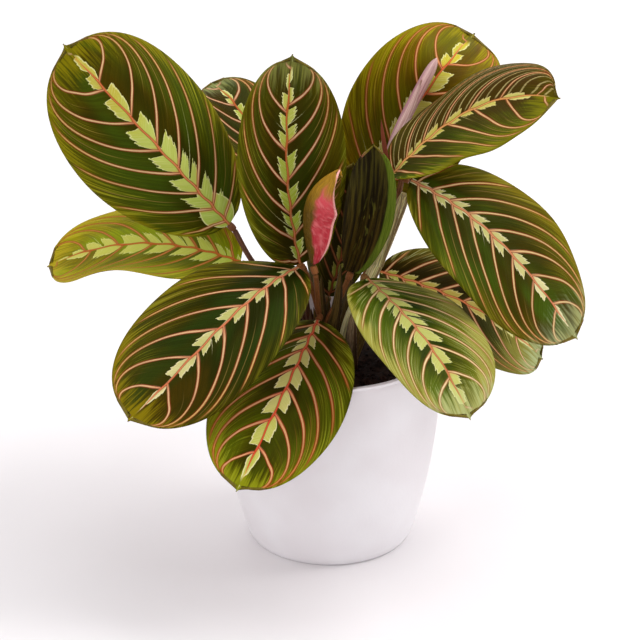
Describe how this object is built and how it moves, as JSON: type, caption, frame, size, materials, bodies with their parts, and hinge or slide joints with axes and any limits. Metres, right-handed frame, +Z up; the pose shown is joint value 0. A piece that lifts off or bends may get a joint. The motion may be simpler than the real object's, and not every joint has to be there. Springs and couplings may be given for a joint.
{
  "type": "potted prayer plant",
  "caption": "Prayer plant with oval, red-veined, herringbone-patterned leaves on slender stalks, growing in soil in a round tapered white pot.",
  "frame": {"origin": "centre of the flat face under the pot, on the pot's upright axis", "axes": "+Z up along the pot's axis; the plant's front, as pictured, looks along -Y, with +X to the right"},
  "size_m": [0.3095, 0.2722, 0.3158],
  "materials": {
    "pot": "smooth satin white",
    "soil": "rough, crumbly, dark",
    "shoot": "satin, reddish brown to pale green",
    "leaf_green": "velvety satin, pink-red veins",
    "leaf_yellowed": "velvety satin, pink-red veins",
    "leaf_pale": "velvety satin, orange veins",
    "leaf_rolled": "satin, pink-red underside",
    "leaf_folded": "velvety satin",
    "leaf_spear": "satin, pink-mauve"
  },
  "bodies": {
    "root": {"pot": "pot", "soil": "soil", "shoot_left": "shoot", "shoot_centre": "shoot", "shoot_right": "shoot", "shoot_front": "shoot", "shoot_back": "shoot", "leaf_01": "leaf_green", "leaf_02": "leaf_yellowed", "leaf_03": "leaf_green", "leaf_04": "leaf_green", "leaf_05": "leaf_green", "leaf_06": "leaf_green", "leaf_07": "leaf_green", "leaf_08": "leaf_green", "leaf_09": "leaf_green", "leaf_10": "leaf_green", "leaf_11": "leaf_pale", "leaf_12": "leaf_rolled", "leaf_13": "leaf_folded", "leaf_14": "leaf_spear", "leaf_15": "leaf_green", "leaf_16": "leaf_green", "leaf_17": "leaf_green", "leaf_18": "leaf_green"}
  },
  "joints": []
}
